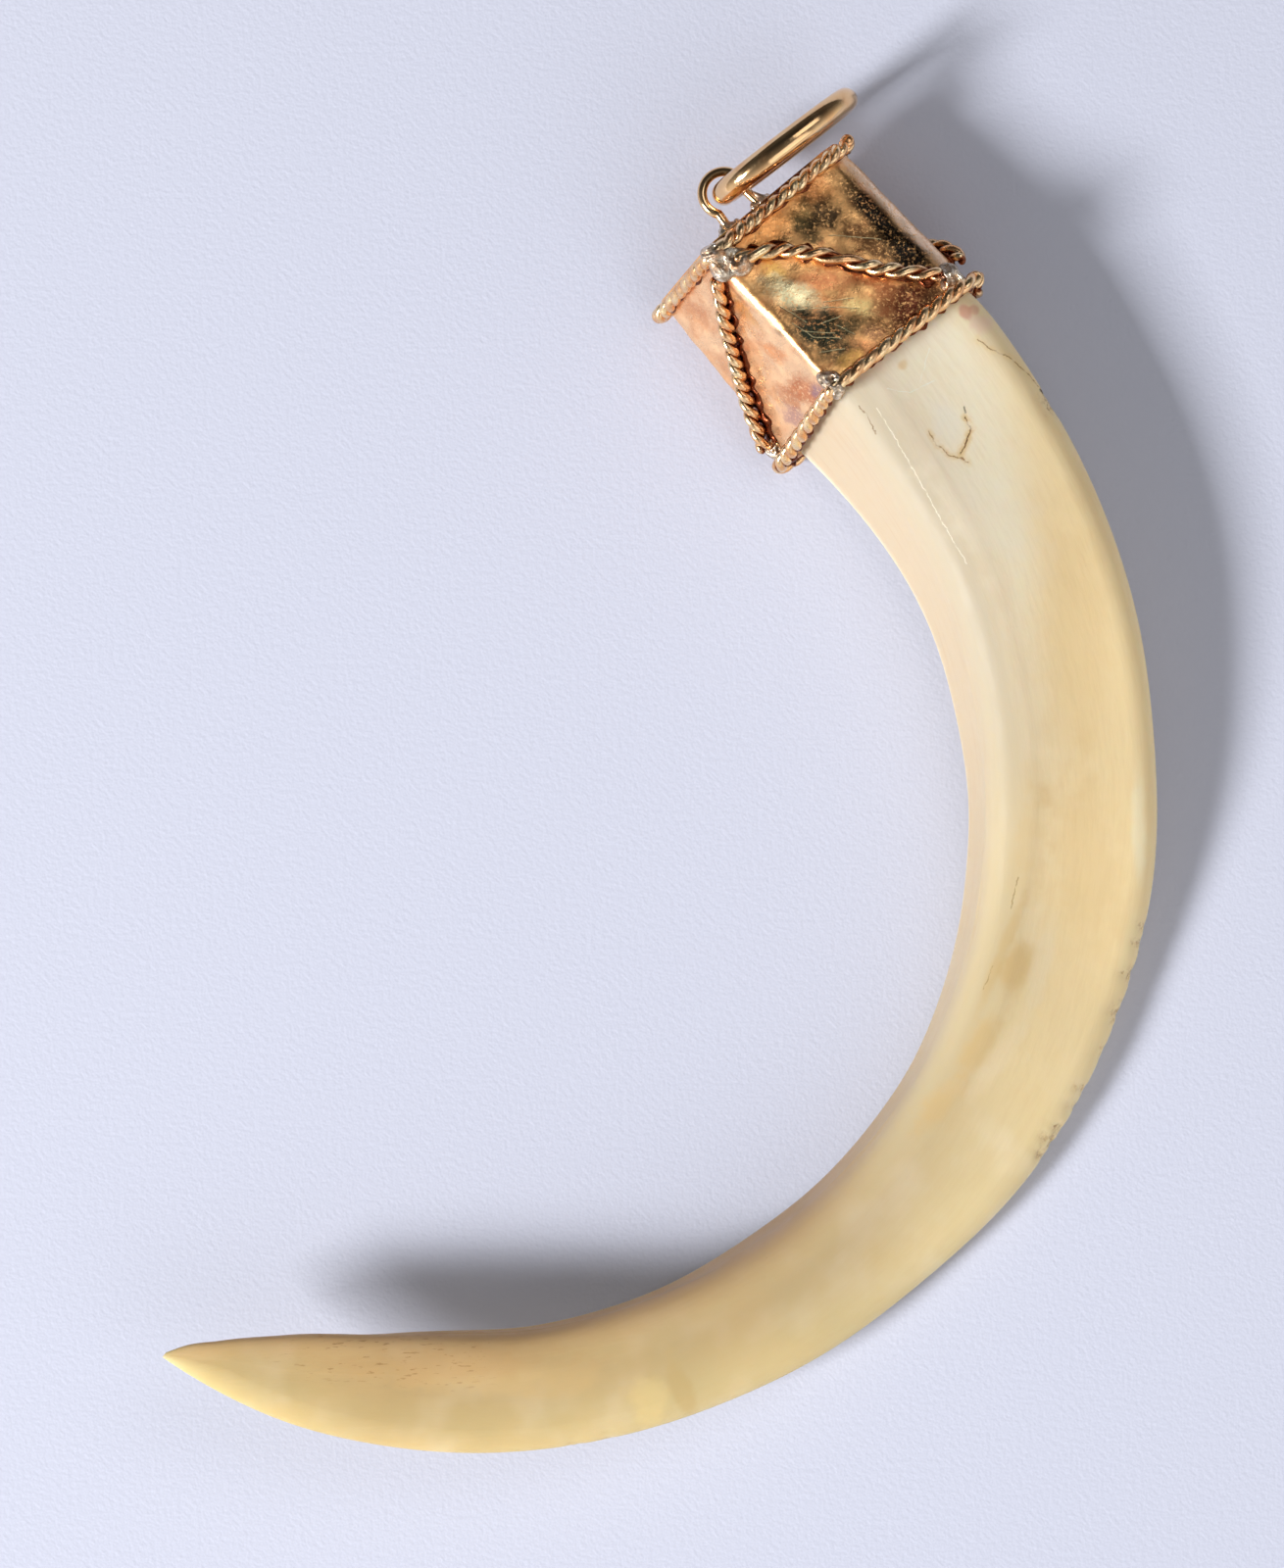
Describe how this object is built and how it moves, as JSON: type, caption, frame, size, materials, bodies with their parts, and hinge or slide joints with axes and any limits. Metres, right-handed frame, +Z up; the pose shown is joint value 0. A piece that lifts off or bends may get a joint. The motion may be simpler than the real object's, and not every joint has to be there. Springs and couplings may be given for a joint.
{
  "type": "mounted boar tusk pendant",
  "caption": "Curved boar's tusk in a three-sided gold cap trimmed with twisted wire, hung by an eyelet and an oval ring",
  "frame": {"origin": "centre of the bounding box in plan, on the surface that the pendant lies on", "axes": "+Y up the tusk's long chord from the tip to the ring, +X to the outside of the curve, +Z up from the surface"},
  "size_m": [0.0762, 0.1045, 0.0136],
  "materials": {
    "ivory": "satin",
    "sheet_gold": "polished",
    "rope_gold": "satin",
    "ring_gold": "polished"
  },
  "bodies": {
    "pendant": {"tusk": "ivory", "cap_sleeve": "sheet_gold", "cap_top_plate": "sheet_gold", "rope_top_rim": "rope_gold", "rope_mouth_rim": "rope_gold", "rope_front_diagonal": "rope_gold", "rope_side_diagonal": "rope_gold", "rope_back_diagonal": "rope_gold", "bail_loop": "ring_gold"},
    "ring": {"hanging_ring": "ring_gold"}
  },
  "joints": [
    {"name": "ring_swing", "type": "hinge", "parent": "pendant", "child": "ring", "pos_m": [0.00478, 0.04418, 0.0068], "axis": [0, 0, 1], "range_deg": [0, 180]}
  ]
}
